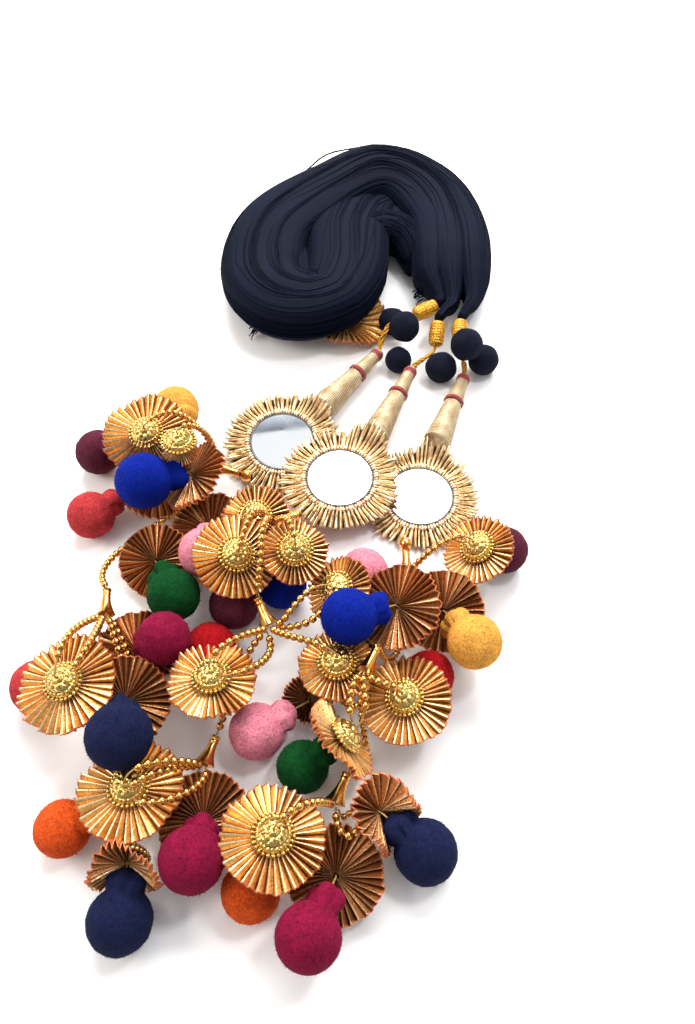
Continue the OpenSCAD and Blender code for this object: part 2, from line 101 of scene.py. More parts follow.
table_paper, tree, p = finish_of("table_paper", "#fbfbfd", 0.9, 0.0, Specular_IOR_Level=0.2)
mixed(tree, noise(tree, 9.0, 2.0), "#fafafc", "#fdfdfe", p)
table_mesh = bpy.data.meshes.new("table")
HALF_TABLE = 3
corners = [(x * HALF_TABLE, y * HALF_TABLE, 0) for x, y in ((-1, -1), (1, -1), (1, 1), (-1, 1))]
table_mesh.from_pydata(corners, [], [(0, 1, 2, 3)])
table_mesh.materials.append(table_paper)
table = bpy.data.objects.new("table", table_mesh)
bpy.context.scene.collection.objects.link(table)

# name, place, width, power and colour of each lamp, which is turned to the middle of the table
for name, spot, size, power, tint in (
    ("window", (0.1, 0.88, 0.93), 0.9, 28.5, "#fffdf8"),
    ("room_left", (-0.8, -0.1, 0.7), 0.6, 6, "#fff4e6"),
    ("glint", (0.35, 0.1, 0.8), 0.12, 2.2, "#ffffff"),
):
    lamp = bpy.data.lights.new(name, "AREA")
    lamp.size, lamp.energy, lamp.color = size, power, linear(tint)[:3]
    holder = bpy.data.objects.new(name, lamp)
    holder.location = spot
    aim = -np.array(spot)
    holder.rotation_euler = (np.arctan2(np.hypot(aim[0], aim[1]), -aim[2]), 0, np.arctan2(-aim[0], aim[1]))
    bpy.context.scene.collection.objects.link(holder)

# The room is white above and beyond the table, and dimmer on the side of the camera. Before the
# window the ceiling has a shaded grey strip, which shows in the tilted mirror on the left.
room = bpy.data.worlds.new("room")
room.use_nodes = True
bpy.context.scene.world = room
tree = room.node_tree


def figured(tree, how, *values):
    """One step of arithmetic on values or sockets, such as ADD or MULTIPLY."""
    return shader_node(tree, "Math", dict(enumerate(values)), operation=how).outputs[0]


def ranged(tree, value, low, high, to_low=0.0, to_high=1.0):
    """A value's range from low to high spread over another range, and held at its ends."""
    limits = {"From Min": low, "From Max": high, "To Min": to_low, "To Max": to_high}
    return shader_node(tree, "MapRange", {"Value": value, **limits}).outputs["Result"]


way = shader_node(tree, "SeparateXYZ", {"Vector": shader_node(tree, "TexCoord").outputs["Generated"]})
beyond = ranged(tree, way.outputs["Y"], -0.7, 0.3, 0.35, 1.0)
# the strip's near edge and where it has faded out, as heights of a slightly slanting line
STRIP_NEAR, STRIP_FAR, SLANT = 0.3805, 0.4, -0.15
slant = figured(tree, "MULTIPLY_ADD", way.outputs["X"], SLANT, way.outputs["Y"])
past = figured(tree, "GREATER_THAN", slant, STRIP_NEAR)
high = figured(tree, "GREATER_THAN", way.outputs["Z"], 0.8)
strip = figured(tree, "MULTIPLY", past, high)
grey = mixed(tree, ranged(tree, slant, STRIP_NEAR, STRIP_FAR), "#4e5a6a", "#f0f6ff")
wall = mixed(tree, strip, (0.97, 0.985, 1, 1), grey)
tree.links.new(wall, tree.nodes["Background"].inputs["Color"])
tree.links.new(beyond, tree.nodes["Background"].inputs["Strength"])

# The hank. Three thick bundles of fine black thread lie side by side, folded over and curled
# in at the end. Each is a soft rounded mass of combed strands, with a few that stray.
MM = 0.001
SAME_POINT = 2e-7
# lowest that anything lies, in millimetres above the table
OFF_TABLE = 0.05
# moves the numbers below so that the middle of the whole is at the origin
SHIFT = np.array([-0.4, -2.08, 0])
UP = np.array([0, 0, 1.0])
chance = np.random.default_rng(11)
HANK_ROUTE = np.array([
    [72, 78, 0], [71, 95, 0], [72, 120, 0], [69, 145, 0], [58, 164, 0], [39, 173, 0], [19, 158, 0], [-1, 140, 0],
    [-12, 124, 0], [-15, 102, 1], [-9, 82, 4], [6, 73, 5], [20, 80, 5], [24, 97, 3], [24, 122, 0]], float)
# side of the middle, then where each is drawn in behind its knob, with its share of the full size there
BUNDLES = {
    "hank_inner": (1, [[65.6, 77.8, 13.2, 0.2], [66, 82, 12.6, 0.3]]),
    "hank_middle": (0, [[64.2, 67, 14.6, 0.2], [67.5, 72, 14.5, 0.22], [71.5, 79, 12.5, 0.35]]),
    "hank_outer": (-1, [[74.2, 66.1, 15.4, 0.2], [77, 72, 14.5, 0.25], [81, 80, 12.5, 0.4]]),
}


def unit(v):
    return v / np.maximum(np.linalg.norm(v, axis=-1, keepdims=True), 1e-9)


def smooth_through(knots, steps):
    """A Catmull-Rom curve through all knots, each span cut into steps."""
    k = np.vstack([2 * knots[0] - knots[1], knots, 2 * knots[-1] - knots[-2]])
    t = np.linspace(0, 1, steps, endpoint=False)[:, None]
    spans = [0.5 * (2 * b + (c - a) * t + (2 * a - 5 * b + 4 * c - d) * t * t + (3 * b - a - 3 * c + d) * t ** 3)
             for a, b, c, d in zip(k[:-3], k[1:-2], k[2:-1], k[3:])]
    return np.vstack(spans + [knots[-1:]])


def carried(path):
    """Headings along a path, and two side directions carried along it without twist."""
    h = unit(np.gradient(path, axis=0))
    u = np.empty_like(h)
    u[0] = unit(np.cross(h[0], UP if abs(h[0, 2]) < 0.8 else np.array([1.0, 0, 0])))
    for i in range(1, len(h)):
        u[i] = unit(u[i - 1] - (u[i - 1] @ h[i]) * h[i])
    return h, u, np.cross(h, u)


def capped(ring, path):
    """A tube's rings, with its ends closed to the first and last point of its path."""
    first, last = (np.repeat(end[None, None], ring.shape[1], 1) for end in (path[0], path[-1]))
    return np.concatenate([first, ring, last])


def angles(count):
    """Even steps round a full turn."""
    return 2 * np.pi * np.arange(count) / count


def tube(path, radius, sides):
    """A round tube: at each path point, radius times cosine and sine along the two side directions.
    The ends close to a point."""
    _, u, v = carried(path)
    r = np.broadcast_to(np.asarray(radius, float), len(path))[:, None, None]
    a = angles(sides)[None, :, None]
    ring = path[:, None] + r * (np.cos(a) * u[:, None] + np.sin(a) * v[:, None])
    return capped(ring, path), False, True, {}


def piece_of(name, grids, finishes, nodes, sharp=None):
    """One object from grids of points in millimetres. A grid is (points, closed along its first
    index, closed along its second, values at its points); each four neighbours make a face, and
    a grid with a negative volume is turned to face outwards. Points with one more index in front
    are many separate grids of one size. The UV map is the index over its count."""
    points, faces, uvs, values, slots, start = [], [], [], {}, [], 0
    for grid, wrap_i, wrap_j, tags in grids:
        m, n = grid.shape[-3:-1]
        copies = grid.size // (3 * m * n)
        rows, columns = m - (not wrap_i), n - (not wrap_j)
        i, j = np.meshgrid(np.arange(rows), np.arange(columns), indexing="ij")
        corner = [(i, j), (i, j + 1), (i + 1, j + 1), (i + 1, j)]
        quad = np.stack([(a % m) * n + b % n for a, b in corner], -1).reshape(-1, 4)
        uv = np.stack([np.stack([a / rows, b / columns], -1) for a, b in corner], -2).reshape(-1, 4, 2)
        quad = (quad[None] + m * n * np.arange(copies)[:, None, None]).reshape(-1, 4)
        uv = np.tile(uv, (copies, 1, 1))
        flat = grid.reshape(-1, 3)
        q = flat[quad] - flat.mean(0)
        volume = np.einsum("ij,ij->", q[:, 0], np.cross(q[:, 1], q[:, 2]) + np.cross(q[:, 2], q[:, 3]))
        if volume < 0:
            quad, uv = quad[:, ::-1], uv[:, ::-1]
        points.append(flat)
        faces.append(quad + start)
        uvs.append(uv)
        slots.append(np.full(len(quad), tags.get("finish", 0)))
        for key in set(tags) - {"finish"}:
            values.setdefault(key, []).append((start, np.broadcast_to(tags[key], grid.shape[:-1]).ravel()))
        start += len(flat)
    points, faces, uvs, slots = np.vstack(points), np.vstack(faces), np.vstack(uvs), np.concatenate(slots)
    mesh = bpy.data.meshes.new(name)
    mesh.vertices.add(len(points))
    mesh.vertices.foreach_set("co", ((points + SHIFT) * MM).ravel())
    mesh.loops.add(faces.size)
    mesh.loops.foreach_set("vertex_index", faces.ravel())
    mesh.polygons.add(len(faces))
    mesh.polygons.foreach_set("loop_start", np.arange(0, faces.size, 4))
    mesh.polygons.foreach_set("material_index", slots)
    mesh.uv_layers.new(name="grid").data.foreach_set("uv", uvs.ravel())
    for key, runs in values.items():
        data = np.zeros(len(points))
        for first, run in runs:
            data[first:first + len(run)] = run
        mesh.attributes.new(key, "FLOAT", "POINT").data.foreach_set("value", data)
    mesh.update(calc_edges=True)
    whole = bmesh.new()
    whole.from_mesh(mesh)
    bmesh.ops.remove_doubles(whole, verts=whole.verts, dist=SAME_POINT)
    whole.to_mesh(mesh)
    whole.free()
    mesh.polygons.foreach_set("use_smooth", np.ones(len(mesh.polygons), bool))
    if sharp:
        mesh.set_sharp_from_angle(angle=np.radians(sharp))
    for finish in finishes:
        mesh.materials.append(finish)
    thing = bpy.data.objects.new(name, mesh)
    bpy.context.scene.collection.objects.link(thing)
    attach(thing, "root")
    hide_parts(*nodes)


def group_of(name, inputs, outputs):
    """A shader node group, ready to be filled. Inputs and outputs give the kind of each socket by its name."""
    g = bpy.data.node_groups.new(name, "ShaderNodeTree")
    for side, sockets in (("INPUT", inputs), ("OUTPUT", outputs)):
        for key, kind in sockets.items():
            g.interface.new_socket(key, in_out=side, socket_type="NodeSocket" + kind)
    return g, g.nodes.new("NodeGroupInput"), g.nodes.new("NodeGroupOutput")


# Fibre: fine streaks that run one way, from noise that is stretched by Across and Along
fibre, given, made = group_of(
    "fibre", {"Vector": "Vector", "Across": "Float", "Along": "Float"}, {"Streak": "Float", "Drift": "Float"})
split = shader_node(fibre, "SeparateXYZ", {"Vector": given.outputs["Vector"]})
thin = figured(fibre, "MULTIPLY", split.outputs["Y"], given.outputs["Across"])
long = figured(fibre, "MULTIPLY", split.outputs["X"], given.outputs["Along"])
stretched = shader_node(fibre, "CombineXYZ", {"X": thin, "Y": long, "Z": split.outputs["Z"]})
fibre.links.new(noise(fibre, 1.0, 3.0, 0.6, stretched.outputs[0]), made.inputs["Streak"])
fibre.links.new(noise(fibre, 7.0, 2.0, at=given.outputs["Vector"]), made.inputs["Drift"])


def raised(tree, p, height, depth, strength=1.0, invert=False):
    """Raises a finish's surface by a height, whose whole range is depth millimetres."""
    inputs = {"Height": height, "Distance": depth * MM, "Strength": strength}
    bump = shader_node(tree, "Bump", inputs, invert=invert)
    tree.links.new(bump.outputs["Normal"], p.inputs["Normal"])


def streaked(tree, p, dark, light, across, along, height, strength=1.0):
    """Colours a finish between two codes by fibre streaks on the UV map, and raises them. It gives
    the streaks and the colour back."""
    inputs = {"Vector": shader_node(tree, "TexCoord").outputs["UV"], "Across": across, "Along": along}
    lines = shader_node(tree, "Group", inputs, node_tree=fibre)
    both = figured(tree, "ADD", lines.outputs["Streak"], lines.outputs["Drift"])
    tone = mixed(tree, ranged(tree, both, 0.75, 1.3), dark, light, p)
    raised(tree, p, lines.outputs["Streak"], height, strength)
    return lines.outputs["Streak"], tone


hank_thread, tree, p = finish_of("hank_thread", "#14172a", 0.7, Specular_IOR_Level=0.05)
streaked(tree, p, "#0a0e1b", "#0f1528", 150.0, 4.0, 0.1)

# in millimetres: middle of the bundles off the table and from each other, half of a bundle's width and
# height, half of the hank's width, and how square a bundle's section is
LIE, APART, HALF_WIDE, HALF_HIGH, HANK_HALF, SQUARE = 11.2, 11.8, 8.0, 11.3, 20.3, 5.0
# share of the distance apart at each point of the route: the first leg is narrower than the fold, and
# the curl is drawn in where the rosette lies
PULL = {
    1: ([0, 5, 7, 8, 9, 12, 16, 18, 22, 24], [0.76, 0.82, 0.78, 0.72, 0.78, 0.95, 0.95, 0.86, 0.86, 0.9]),
    0: ([0], [1]),
    -1: ([2, 6, 9, 12, 17, 19, 20, 21.5, 23, 24], [1, 0.74, 0.8, 1, 1, 0.84, 0.64, 0.5, 0.85, 1]),
}
AROUND, STRANDS, OUTER_STRAYS = 96, 72, 3


def wander(count, level, swing, rates):
    """A slow wave along a strand: the level, plus the swing times a sine of random rate and phase."""
    rate, phase = chance.uniform(*rates), chance.uniform(0, 6)
    return level + swing * np.sin(np.arange(count) * rate + phase)


def swell(x, middle, width):
    """A smooth swelling, 1 at its middle: e to the power of minus the square of the distance in widths."""
    return np.exp(-((x - middle) / width) ** 2)


grids = []
for side, neck in BUNDLES.values():
    flat = HANK_ROUTE + [0, 0, LIE]
    tail = [[26, 134, 10.5], [30, 147, 9.5], [36, 158, 8]]
    middle = np.vstack([smooth_through(flat, 2)[2:-4], flat[-2:], tail])
    h = unit(np.gradient(middle, axis=0))
    neck = np.array(neck)
    pull = np.interp(np.arange(len(middle)), *PULL[side])
    knots = np.vstack([neck[:, :3], middle + side * APART * pull[:, None] * np.cross(UP, h)])
    first, last = len(neck) + 4, len(neck) + 13
    for _ in range(4 * (side > 0)):
        knots[first:last] = (knots[first - 1:last - 1] + 2 * knots[first:last] + knots[first + 1:last + 1]) / 4
    share = np.concatenate([neck[:, 3], [0.85], np.ones(len(middle) - 4), [0.95, 0.85, 0.6]])
    if side > 0:
        share[len(neck) + 17:len(neck) + 23] = 0.82
    path = smooth_through(knots, 3)
    size = np.interp(np.linspace(0, len(share) - 1, len(path)), np.arange(len(share)), share)
    run = unit(np.gradient(path, axis=0))
    across = unit(np.cross(UP, run))
    rise = np.cross(run, across)
    rings = len(path)

    def on_bundle(a, grow):
        """Points on the bundle: a rounded box section whose height falls towards the outside of the
        hank; grow pushes it out. a is an angle for each ring and strand."""
        c, s = np.cos(a), np.sin(a)
        x = HALF_WIDE * np.sign(c) * np.abs(c) ** (2 / SQUARE)
        whole = np.clip(np.abs(side * APART + x) / HANK_HALF, 0, 0.985)
        z = HALF_HIGH * np.sign(s) * np.abs(s) ** (2 / SQUARE) * (1 - whole ** 3) ** (1 / 3)
        x, z = x + grow * c, z + grow * s
        p = path[:, None] + size[:, None, None] * (x[..., None] * across[:, None] + z[..., None] * rise[:, None])
        p[..., 2] = np.maximum(p[..., 2], OFF_TABLE)
        return p

    a = np.broadcast_to(angles(AROUND) - np.pi / 2, (rings, AROUND))
    far = np.arange(rings)[:, None]
    groove = 0.05 * np.sin(29 * a + 0.03 * far) + 0.12 * np.sin(5 * a + 0.12 * far) + 0.2 * np.sin(0.21 * far + 3 * a)
    grids.append((capped(on_bundle(a, groove), path), False, True, {}))
    for strand in range(STRANDS):
        lie = chance.uniform(-0.4, np.pi + 0.4) + wander(rings, 0, 0.06, (0.03, 0.12))
        lift = wander(rings, 0.08, 0.18, (0.05, 0.3))
        thick = chance.uniform(0.13, 0.24)
        if side < 0 and strand < OUTER_STRAYS:
            lie = lie * 0 + np.pi - 0.3 * strand
            lift, thick = lift + (1.6 + 1.2 * strand) * swell(np.arange(rings), 33 + 2 * strand, 3.0), 0.5
        grids.append(tube(on_bundle(lie[:, None], lift[:, None])[:, 0], thick, 3))

# More of the strands lie crossways between fold and curl, and others fill the curl's eye. Short
# ends stick out at the far left and where the hank is tied.
turn = angles(48)
# each lock: its route, half its width and height, and its number of loose strands
for route, half, high, strands in (
    ([[14, 118, 8], [28, 132, 8], [45, 138, 8], [60, 133, 8]], 15, 8, 0),
    ([[25, 108, 7], [29, 122, 9], [41, 130, 10], [53, 125, 9.5], [58, 110, 7]], 10, 11, 80),
    ([[1, 116, 8], [2, 104, 10], [4, 92, 11], [9, 84, 10]], 7, 9.5, 50),
):
    route = smooth_through(np.array(route, float), 6)
    _, u, v = carried(route)
    taper = np.sin(np.linspace(0.5, np.pi - 0.5, len(route)))[:, None] ** 0.5

    def on_lock(a, grow):
        """Points on the lock: an oval section that tapers to both ends."""
        wide, tall = (half * taper + grow) * np.cos(a), (high * taper + grow) * np.sin(a)
        p = route[:, None] + wide[..., None] * u[:, None] + tall[..., None] * v[:, None]
        p[..., 2] = np.maximum(p[..., 2], OFF_TABLE)
        return p

    ring = on_lock(np.broadcast_to(turn, (len(route), 48)), 0.2 * np.sin(15 * turn)[None, :])
    grids.append((capped(ring, route), False, True, {}))
    for strand in range(strands):
        lie = -np.pi / 2 + chance.uniform(-1.5, 1.5) + wander(len(route), 0, 0.1, (0.1, 0.4))
        lift = wander(len(route), 0.1, 0.25, (0.1, 0.5))
        grids.append(tube(on_lock(lie[:, None], lift[:, None])[:, 0], chance.uniform(0.15, 0.26), 3))
# the short ends: where they come from, the way that they point, and how many
for root, way, count in (
    ([-31, 103, 9], [-1, 0.1, 0.1], 34), ([-18, 74, 4], [-0.4, -1, 0], 22), ([59, 92, 8], [-1, -0.5, 0], 34)):
    for strand in range(count):
        start = root + chance.uniform(-1, 1, 3) * [1.5, 4, 3]
        end = start + unit(np.array(way)) * chance.uniform(2.0, 4.0) + chance.uniform(-1, 1, 3) * [0.5, 1.6, 1.5]
        bow = (start + end) / 2 + chance.uniform(-0.6, 0.6, 3)
        grids.append(tube(np.maximum(smooth_through(np.array([start, bow, end]), 4), [-999, -999, 0.3]), 0.28, 3))
piece_of("hank_strands", grids, [hank_thread], list(BUNDLES))

# Tie knobs. A small barrel woven over with yellow metal thread ends each bundle, and two cords
# of the same thread twist round each other on the way to the cone, where they spread.
KNOBS = np.array([
    [[64, 77, 13], [54, 72, 12]], [[64.3, 65.6, 14], [63, 56, 9]], [[74, 65, 15], [73, 57, 13]]], float)
SIDES = ("left", "middle", "right")
# middle of the mirror, tilt and turn of its glass, top and foot of the cone
MIRRORS = [
    ([-3, 6, 3.4], 8, 270, [38, 55, 6], [14, 24, 7]),
    ([21, -15, 7], 2, 270, [52, 44, 7], [36, 8, 9]),
    ([53, -20, 1.2], 2, 270, [75, 41, 6], [61, 5, 7]),
]


def bezier(corners, t):
    """The cubic curve with these four corner points, at the shares t."""
    t = np.asarray(t, float)[:, None]
    a, b, c, d = np.asarray(corners, float)
    return (1 - t) ** 3 * a + 3 * (1 - t) ** 2 * t * b + 3 * (1 - t) * t * t * c + t ** 3 * d


def turned(profile, a, b, sides, closed=True, relief=None):
    """A turned form: a profile of (radius, distance from a) carried round the line from a to b.
    relief(angle, distance) adds to the radius."""
    a, b, profile = (np.asarray(value, float) for value in (a, b, profile))
    w = unit(b - a)
    u = unit(np.cross(w, UP if abs(w[2]) < 0.9 else np.array([1.0, 0, 0])))
    v = np.cross(w, u)
    t = angles(sides)
    r = np.broadcast_to(profile[:, :1], (len(profile), sides))
    far = np.broadcast_to(profile[:, 1:], (len(profile), sides))
    if relief:
        r = np.maximum(r + relief(t, far) * (r > 0.01), 0)
    grid = a + (r * np.cos(t))[..., None] * u + (r * np.sin(t))[..., None] * v + far[..., None] * w
    return grid, closed, True, {}


def cells(tree, scale):
    """The distance from the middle of small irregular cells, on the piece's own coordinates."""
    at = shader_node(tree, "TexCoord").outputs["Object"]
    return shader_node(tree, "TexVoronoi", {"Vector": at, "Scale": scale}).outputs["Distance"]


yellow_zari, tree, p = finish_of("yellow_zari", "#dc9a1a", 0.42, 0.45)
weave = cells(tree, 1500.0)
# painted shade: the weave's cells are bright in the middle and dark brown at their edges, where the threads dip
mixed(tree, weave, "#f6bb32", "#8a4f0c", p)
raised(tree, p, weave, 0.25, 0.8, invert=True)

CORDS = np.array([
    [[47, 72, 14.5], [40, 65, 14]], [[62.6, 51, 8], [55, 49, 8.5]], [[72.7, 52, 12.5], [76, 46, 8]]], float)
grids = []
for (start, end), by, (_, _, _, top, _) in zip(KNOBS, CORDS, MIRRORS):
    length = np.linalg.norm(end - start)
    far = np.linspace(0, length, 40)
    radius = np.interp(far, [0, 0.6, length / 2, length - 1, length], [2.6, 3.2, 3.5, 3.1, 1.9])
    profile = np.vstack([[[0, 0]], np.stack([radius, far], 1), [[0, length]]])
    grids.append(turned(profile, start, end, 60, False,
                        lambda t, z: 0.22 * np.sin(9 * t + 2.6 * z) * np.sin(9 * t - 2.6 * z)))
    t = np.linspace(0, 1, 50)
    lead = bezier([end - unit(end - start) * 0.5, *by, top], t)
    _, u, v = carried(lead)
    spread = (0.4 + np.clip(t - 0.55, 0, 1) * (1.02 - t) * 8)[:, None]
    for k in range(4):
        turn = (14 * t + k * np.pi / 2)[:, None]
        grids.append(tube(lead + spread * (np.cos(turn) * u + np.sin(turn) * v) * (0.9 if k % 2 else 1.1), 0.42, 7))
piece_of("knobs_and_cords", grids, [yellow_zari], ["tie_knobs"])

# Cones. A card cone is wound closely from end to end with pale gold thread, and red thread
# binds it at the top and again a little lower.
cone_winding, tree, p = finish_of("cone_winding", "#c6b184", 0.5, 0.25)
_, tone = streaked(tree, p, "#a17f4c", "#f4e5c2", 24.0, 150.0, 0.2)


def marked(tree, name):
    """The values that the mesh's points carry under a name."""
    return shader_node(tree, "Attribute", attribute_name=name).outputs["Fac"]


# painted shade: between the turns of thread, in the grooves, the winding is coloured dark brown
mixed(tree, ranged(tree, marked(tree, "turns"), 0.15, 0.95), "#705430", tone, p)
binding_thread, tree, p = finish_of("binding_thread", "#8a1a26", 0.7, Sheen_Weight=0.2)
streaked(tree, p, "#5d0c14", "#b02f3b", 40.0, 12.0, 0.1)
# in millimetres: where the two bindings begin, how long each is, and one turn of the winding
BINDS, BIND_LENGTH, PITCH = (1, 15), 2.4, 0.95
CONE_SIDES = 28


def cone_radius(share):
    """The cone's radius at a share of its length: 2.4 at the top, slow at first, and 5.8 at the foot."""
    return 2.4 + 2.2 * share + 1.2 * share ** 1.6


def wound(t, far):
    """Turns of thread that climb round the cone: 1 on a turn and 0 between two, as a sine's absolute value."""
    return np.abs(np.sin(np.pi * far / PITCH + t / 2))


for (_, _, _, top, foot), side in zip(MIRRORS, SIDES):
    length = np.linalg.norm(np.subtract(foot, top))
    far = np.arange(0, length, PITCH / 5)
    radius = cone_radius(far / length)
    for bind in BINDS:
        radius = radius - 0.4 * ((far > bind) & (far < bind + BIND_LENGTH))
    rounding = [[5.7, length + 0.4], [5.2, length + 1.4], [4.0, length + 2.2], [0, length + 2.6]]
    profile = np.vstack([[[0, 0]], np.stack([radius, far], 1), rounding])
    grid, closed, around, _ = turned(profile, top, foot, CONE_SIDES, False, lambda t, z: 0.22 * wound(t, z) - 0.12)
    # the turns values paint the shade in the grooves between turns of thread
    turns = wound(angles(CONE_SIDES), profile[:, 1:])
    name = "cone_" + side
    piece_of(name + "_winding", [(grid, closed, around, {"turns": turns})], [cone_winding], [name])
grids = []
for _, _, _, top, foot in MIRRORS:
    length = np.linalg.norm(np.subtract(foot, top))
    for bind, coils in zip(BINDS, (5, 3)):
        radius = cone_radius((bind + BIND_LENGTH / 2) / length) + 0.05 + 0.3 * (bind > 9)
        for k in range(coils):
            t = angles(8)
            coil = np.stack([radius + 0.34 * np.cos(t), bind + 0.3 + 0.5 * k + 0.34 * np.sin(t)], 1)
            grids.append(turned(coil, top, foot, 32, True, lambda t, z: 0.08 * np.sin(5 * t + 9 * z)))
piece_of("red_bindings", grids, [binding_thread], ["bindings"])

# Mirrors. Each is a round silvered glass with a dark edge, glued to card.
mirror_glass, tree, p = finish_of("mirror_glass", "#fafbfd", 0.03, 1.0)
tree.links.new(ranged(tree, noise(tree, 120.0, 3.0), 0.35, 0.75, 0.015, 0.06), p.inputs["Roughness"])
mirror_edge, tree, p = finish_of("mirror_edge", "#4c4f55", 0.45, 0.6)
streaked(tree, p, "#2d2f34", "#6c7077", 60.0, 5.0, 0.05)


def facing_turn(tilt, turn):
    """The turning matrix that tips upright things by tilt and then turns them by turn, in degrees."""
    a, b = np.radians(tilt), np.radians(turn)
    tip = np.array([[np.cos(a), 0, np.sin(a)], [0, 1, 0], [-np.sin(a), 0, np.cos(a)]])
    spin = np.array([[np.cos(b), -np.sin(b), 0], [np.sin(b), np.cos(b), 0], [0, 0, 1]])
    return spin @ tip


# profiles of radius and height
GLASS = [[0, 1.2], [12.7, 1.2], [12.9, 1.4], [12.9, 2.75], [12.55, 3.1], [0, 3.1]]
EDGE = [[12.6, 1.2], [13.3, 1.2], [13.35, 2.8], [13.1, 3.2], [12.75, 3.15], [12.6, 3.0]]
for (middle, tilt, turn, _, _), side in zip(MIRRORS, SIDES):
    grids = []
    for finish, profile in enumerate((GLASS, EDGE)):
        grid, closed, around, _ = turned(profile, [0, 0, 0], [0, 0, 1], 96, finish == 1)
        grids.append((grid @ facing_turn(tilt, turn).T + middle, closed, around, {"finish": finish}))
    name = "mirror_" + side
    piece_of(name + "_glass", grids, [mirror_glass, mirror_edge], [name], sharp=25)

# Frills. A pale gold ribbon is gathered round each mirror: tight little folds at the glass,
# loose loops of uneven length at the rim. It rides up on the foot of the cone.
frill_ribbon, tree, p = finish_of("frill_ribbon", "#d8b878", 0.36, 0.7)
rows = noise(tree, 900.0, 2.0)
# painted shade and highlight: the valleys between folds, the ribbon's underside, the pinched gathers and the card
# behind are coloured dark brown, and the crests pale
shade = ranged(tree, figured(tree, "ADD", marked(tree, "fold"), rows), 0.55, 1.47)
mixed(tree, shade, "#8e5429", "#ffe7ba", p)
raised(tree, p, rows, 0.2, 0.9)
FOLDS = 68
# half the ribbon's thickness, and the radii of the gathered edge, the valleys' rim and the crests' rims
SKIN, GATHERED, VALLEY, CRESTS = 0.12, 13.2, 21.3, (22.4, 24.9)
for (middle, tilt, turn, _, foot), side in zip(MIRRORS, SIDES):
    place = facing_turn(tilt, turn)
    cone_at = np.subtract(foot, middle) @ place
    # eight points to a fold
    around = FOLDS * 8
    t = np.arange(around) / around * FOLDS
    step = np.floor(t).astype(int)
    deep = chance.uniform(0.7, 1.7, FOLDS)[step]
    reach = chance.uniform(*CRESTS, FOLDS)[step]
    sway = chance.uniform(-0.35, 0.35, FOLDS)
    lean = chance.uniform(0.2, 0.4, FOLDS)[step]
    sway = np.interp(t, np.arange(FOLDS + 1) + 0.5, np.append(sway, sway[0]), period=FOLDS)
    out = np.linspace(0, 1, 9)[:, None]
    crest = np.clip(0.72 + 1.2 * np.sin(2 * np.pi * t), 0, 1)
    far = GATHERED + out * (reach * crest + VALLEY * (1 - crest) - GATHERED)
    height = deep * (0.3 + out) * (2 * crest - 1) + 2.3 - 0.5 * out - 0.5 * out ** 2
    height = height + 0.28 * out * np.sin(11 * out + 2.4 * step)
    angle = 2 * np.pi * (t + (lean * np.sin(4 * np.pi * t) + sway * 1.4) * out) / FOLDS
    # over the cone's foot the folds reach further and rise
    aside = (angle - np.arctan2(cone_at[1], cone_at[0]) + np.pi) % (2 * np.pi) - np.pi
    near = np.exp(-(aside / 0.32) ** 4)
    far = far + near * out * (np.hypot(cone_at[0], cone_at[1]) - 24.5)
    height = np.maximum(height + near * 5.5 * out ** 2.2 * (0.7 + 0.3 * crest), 0.45)
    upper, lower = (np.stack([far * np.cos(angle), far * np.sin(angle), height + skin], -1) for skin in (SKIN, -SKIN))
    grid = np.concatenate([upper, lower[::-1]]) @ place.T + middle
    grid[..., 2] = np.maximum(grid[..., 2], OFF_TABLE)
    # painted shade: 1 on the crests and 0 in the valleys, and lower on the underside
    fold = crest * np.ones_like(far)
    ruffle = (grid, True, True, {"fold": np.concatenate([fold, fold * 0.4])})
    # the gathered ring, and the card behind
    n, t = angles(8)[:, None], angles(300)
    pinch = 0.22 * np.sin(75 * t) + 0.12 * np.sin(23 * t + 1)
    far = 14.5 + (1.2 + pinch) * np.cos(n)
    ring = np.stack([far * np.cos(t), far * np.sin(t), 2.6 + (0.8 + pinch) * np.sin(n)], -1)
    # painted shade in the pinched gathers
    gather = (ring @ place.T + middle, True, True, {"fold": 0.5 + 2.2 * pinch * np.ones_like(n)})
    backing = turned([[0, 0.2], [20.5, 0.2], [20.5, 0.7], [0, 0.7]], [0, 0, 0], [0, 0, 1], 72, False)
    # the card behind is painted dark, as in shade
    card = (backing[0] @ place.T + middle, False, True, {"fold": 0.2})
    name = "frill_" + side
    piece_of(name + "_ribbon", [ruffle, gather, card], [frill_ribbon], [name])

# Bells. Little brass trumpets close the strings: a ringed neck, a waist, and a flared mouth
# that is open. Two have a large bead above them.
gilt, tree, p = finish_of("gilt", "#d08a36", 0.2, 1.0)
patch = noise(tree, 700.0, 3.0)
mixed(tree, patch, "#b8702c", "#f2be6c", p)
tree.links.new(ranged(tree, patch, 0.0, 1.0, 0.1, 0.28), p.inputs["Roughness"])
# middle of the neck and of the mouth
BELLS = np.array([
    [[-19, -12, 8], [-28, -9, 8]], [[-62, -67, 15], [-61, -77, 15]], [[6.5, -39.5, 22], [-2.5, -45.5, 25]],
    [[-7, -74.5, 23], [-3, -83, 20]], [[-19, -119, 12], [-22, -128, 12]], [[46, -47, 8], [46, -57, 8]],
    [[34, -93.5, 26.5], [30, -102, 26.5]], [[24, -131, 13], [20, -140, 12]]], float)
BIG_BEADS = [0, 5]


def bead(middle, way, size, sides=10, rows=6):
    """A drilled round bead: a sphere's profile from the bore's edge to its other edge, closed by the bore."""
    edge = np.arcsin(0.5)
    t = np.linspace(-np.pi / 2 + edge, np.pi / 2 - edge, rows)
    profile = np.stack([size / 2 * np.cos(t), size / 2 * np.sin(t)], 1)
    return turned(profile, middle, middle + way, sides, True)


